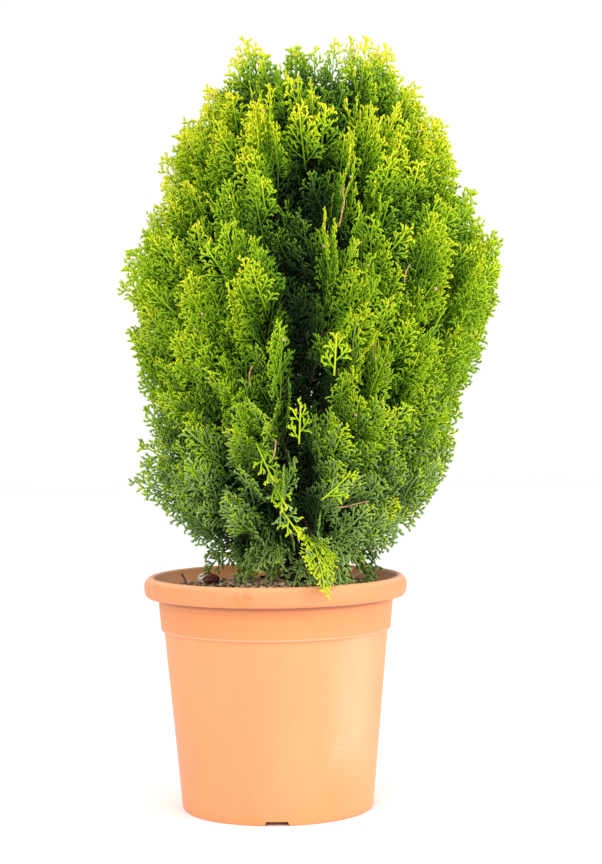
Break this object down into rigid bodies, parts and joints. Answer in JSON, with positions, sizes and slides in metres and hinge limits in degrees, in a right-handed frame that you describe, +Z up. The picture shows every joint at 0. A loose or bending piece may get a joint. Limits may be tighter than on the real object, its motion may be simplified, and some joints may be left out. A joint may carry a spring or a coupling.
{
  "type": "potted thuja",
  "caption": "Bushy golden thuja with upright fan-shaped fronds, planted in a round tapered terracotta-coloured pot with a rolled rim.",
  "frame": {"origin": "on the pot's axis, at the surface that the pot stands on (centre of the pad under its floor)", "axes": "+Z up; -Y to the front, where a frond hangs over the rim; +X to the right, towards which the crown leans"},
  "size_m": [0.3308, 0.3035, 0.7001],
  "materials": {
    "terracotta_plastic": "smooth matte moulded plastic, lightly scuffed",
    "soil": "dark potting soil with bark mulch",
    "bark": "rough fibrous bark",
    "foliage_dark": "matte dark green scale leaves",
    "foliage_shade": "matte green scale leaves",
    "foliage_green": "matte fresh green scale leaves",
    "foliage_bright": "matte bright green scale leaves",
    "foliage_golden": "matte yellow-green scale leaves",
    "white_stone": "matte",
    "lava_stone": "rough and porous",
    "pink_stone": "matte",
    "bark_chip": "dry, fibrous",
    "dead_twig": "dry bark",
    "dry_grass": "dry, matte"
  },
  "bodies": {
    "root": {"pot": "terracotta_plastic", "soil": "soil", "trunk": "bark", "limb_1": "bark", "limb_2": "bark", "limb_3": "bark", "limb_4": "bark", "limb_5": "bark", "limb_6": "bark", "frond_skirt_1": "foliage_dark", "frond_skirt_2": "foliage_dark", "frond_skirt_3": "foliage_dark", "frond_skirt_4": "foliage_dark", "frond_skirt_5": "foliage_dark", "frond_skirt_6": "foliage_dark", "frond_skirt_7": "foliage_dark", "frond_skirt_8": "foliage_dark", "frond_skirt_9": "foliage_dark", "frond_skirt_10": "foliage_dark", "frond_lower_1": "foliage_shade", "frond_lower_2": "foliage_shade", "frond_lower_3": "foliage_shade", "frond_lower_4": "foliage_shade", "frond_lower_5": "foliage_shade", "frond_lower_6": "foliage_shade", "frond_lower_7": "foliage_shade", "frond_lower_8": "foliage_shade", "frond_lower_9": "foliage_shade", "frond_lower_10": "foliage_shade", "frond_middle_1": "foliage_green", "frond_middle_2": "foliage_green", "frond_middle_3": "foliage_green", "frond_middle_4": "foliage_green", "frond_middle_5": "foliage_green", "frond_middle_6": "foliage_green", "frond_middle_7": "foliage_green", "frond_middle_8": "foliage_green", "frond_middle_9": "foliage_green", "frond_middle_10": "foliage_green", "frond_upper_1": "foliage_bright", "frond_upper_2": "foliage_bright", "frond_upper_3": "foliage_bright", "frond_upper_4": "foliage_bright", "frond_upper_5": "foliage_bright", "frond_upper_6": "foliage_bright", "frond_upper_7": "foliage_bright", "frond_top_1": "foliage_golden", "frond_top_2": "foliage_golden", "frond_top_3": "foliage_golden", "frond_top_4": "foliage_golden", "frond_drooping": "foliage_golden", "white_stone": "white_stone", "lava_stone": "lava_stone", "pink_stone": "pink_stone", "bark_chip_1": "bark_chip", "bark_chip_2": "bark_chip", "bark_chip_3": "bark_chip", "dead_twig": "dead_twig", "dry_grass": "dry_grass"}
  },
  "joints": []
}
